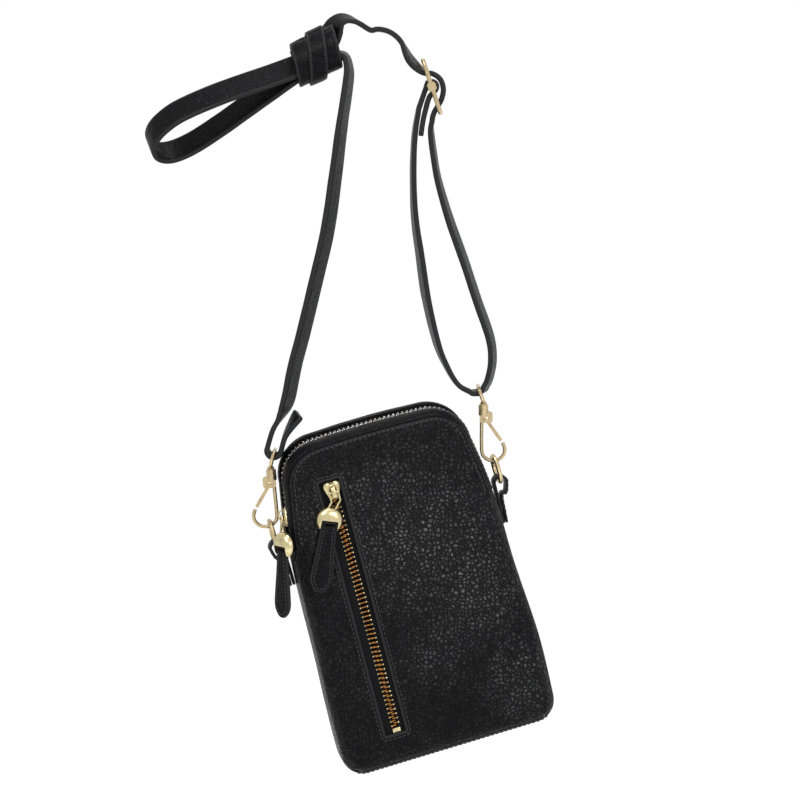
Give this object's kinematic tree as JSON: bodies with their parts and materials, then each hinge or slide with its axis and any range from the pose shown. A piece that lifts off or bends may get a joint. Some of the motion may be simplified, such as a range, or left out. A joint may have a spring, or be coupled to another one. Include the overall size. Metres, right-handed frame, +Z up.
{
  "type": "crossbody satchel",
  "caption": "Small upright crossbody bag with a zip over the top, a slanted front zip pocket, swivel snap hooks and a knotted adjustable strap.",
  "frame": {"origin": "underside of the strap at the top of its arch over the support", "axes": "+Z up, +X to the viewer's right with the front panel towards -Y"},
  "size_m": [0.2284, 0.0656, 0.4232],
  "materials": {
    "leather_panel": "black pebbled leather, soft sheen",
    "leather_smooth": "black smooth leather",
    "leather_strap": "black strap leather with painted edges",
    "lining_cloth": "dark woven lining",
    "base_board": "stiffener board",
    "zip_tape": "black woven zip tape",
    "gunmetal": "gunmetal plated, slightly worn",
    "antique_brass": "antique brass",
    "hook_brass": "antique brass, pinkish"
  },
  "bodies": {
    "strap": {"strap_left_run": "leather_strap", "strap_knot": "leather_strap", "strap_bight": "leather_strap", "strap_peg_run": "leather_strap", "strap_return_run": "leather_strap", "adjuster_frame": "hook_brass", "adjuster_bar": "hook_brass", "left_hook_eye": "hook_brass", "right_hook_eye": "hook_brass"},
    "left_hook": {"left_hook_body": "hook_brass", "left_hook_gate_pin": "hook_brass"},
    "right_hook": {"right_hook_body": "hook_brass", "right_hook_gate_pin": "hook_brass"},
    "left_gate": {"left_hook_gate": "hook_brass"},
    "right_gate": {"right_hook_gate": "hook_brass"},
    "bag": {"front_panel": "leather_panel", "back_panel": "leather_panel", "gusset": "leather_smooth", "zip_strip_front": "leather_smooth", "zip_strip_back": "leather_smooth", "lining": "lining_cloth", "pocket_pouch_front": "lining_cloth", "pocket_pouch_back": "lining_cloth", "base_board": "base_board", "main_tape_front": "zip_tape", "main_tape_back": "zip_tape", "main_teeth_front": "gunmetal", "main_teeth_back": "gunmetal", "pocket_tape_left": "zip_tape", "pocket_tape_right": "zip_tape", "pocket_teeth_left": "antique_brass", "pocket_teeth_right": "antique_brass", "pocket_bottom_stop": "antique_brass", "left_ring_tab": "leather_smooth", "right_ring_tab": "leather_smooth"},
    "left_ring": {"left_ring": "hook_brass"},
    "right_ring": {"right_ring": "hook_brass"},
    "main_slider": {"main_slider": "antique_brass"},
    "main_pull": {"main_pull_cap": "antique_brass", "main_pull_tab": "leather_strap"},
    "pocket_slider": {"pocket_slider": "antique_brass"},
    "pocket_pull": {"pocket_pull_cap": "antique_brass", "pocket_pull_tab": "leather_strap"}
  },
  "joints": [
    {"name": "bag_swing", "type": "hinge", "parent": "strap", "child": "bag", "pos_m": [0.0028, 0, -0.2552], "axis": [0.9545, 0.1512, 0.2571], "range_deg": [-18, 25]},
    {"name": "left_hook_swivel", "type": "hinge", "parent": "strap", "child": "left_hook", "pos_m": [-0.05861, -0.00989, -0.24842], "axis": [-0.0924, 0, 0.9957], "range_deg": [-8, 5]},
    {"name": "right_hook_swivel", "type": "hinge", "parent": "strap", "child": "right_hook", "pos_m": [0.05903, 0.00989, -0.21458], "axis": [0, 0, 1], "range_deg": [-4, 4]},
    {"name": "left_gate", "type": "hinge", "parent": "left_hook", "child": "left_gate", "pos_m": [-0.0598, -0.00989, -0.24853], "axis": [0, -1, 0], "range_deg": [0, 22], "stiffness_Nm_per_rad": 0.002, "springref_deg": -17.19},
    {"name": "right_gate", "type": "hinge", "parent": "right_hook", "child": "right_gate", "pos_m": [0.06023, 0.00989, -0.21458], "axis": [0, 1, 0], "range_deg": [0, 22], "stiffness_Nm_per_rad": 0.002, "springref_deg": -17.19},
    {"name": "left_ring_tip", "type": "hinge", "parent": "bag", "child": "left_ring", "pos_m": [-0.05652, -0.00895, -0.28409], "axis": [-0.1652, 0.9857, 0.0337], "range_deg": [-3, 0]},
    {"name": "right_ring_tip", "type": "hinge", "parent": "bag", "child": "right_ring", "pos_m": [0.06833, 0.01082, -0.25046], "axis": [-0.1652, 0.9857, 0.0337], "range_deg": [0, 2]},
    {"name": "main_slider_slide", "type": "slide", "parent": "bag", "child": "main_slider", "axis": [-0.1179, 0.1367, 0.9836], "range_m": [0, 0.012], "deforming": ["main_teeth_front", "main_teeth_back"]},
    {"name": "pocket_slider_slide", "type": "slide", "parent": "bag", "child": "pocket_slider", "axis": [0.2483, 0.0747, -0.9658], "range_m": [0, 0.13], "deforming": ["pocket_teeth_left", "pocket_teeth_right"]},
    {"name": "main_pull_swing", "type": "hinge", "parent": "main_slider", "child": "main_pull", "pos_m": [-0.05322, -0.01558, -0.26567], "axis": [-0.1652, 0.9857, 0.0337], "range_deg": [0, 90]},
    {"name": "pocket_pull_swing", "type": "hinge", "parent": "pocket_slider", "child": "pocket_pull", "pos_m": [-0.02404, -0.02864, -0.25075], "axis": [0.9545, 0.1512, 0.2571], "range_deg": [-90, 0]}
  ]
}
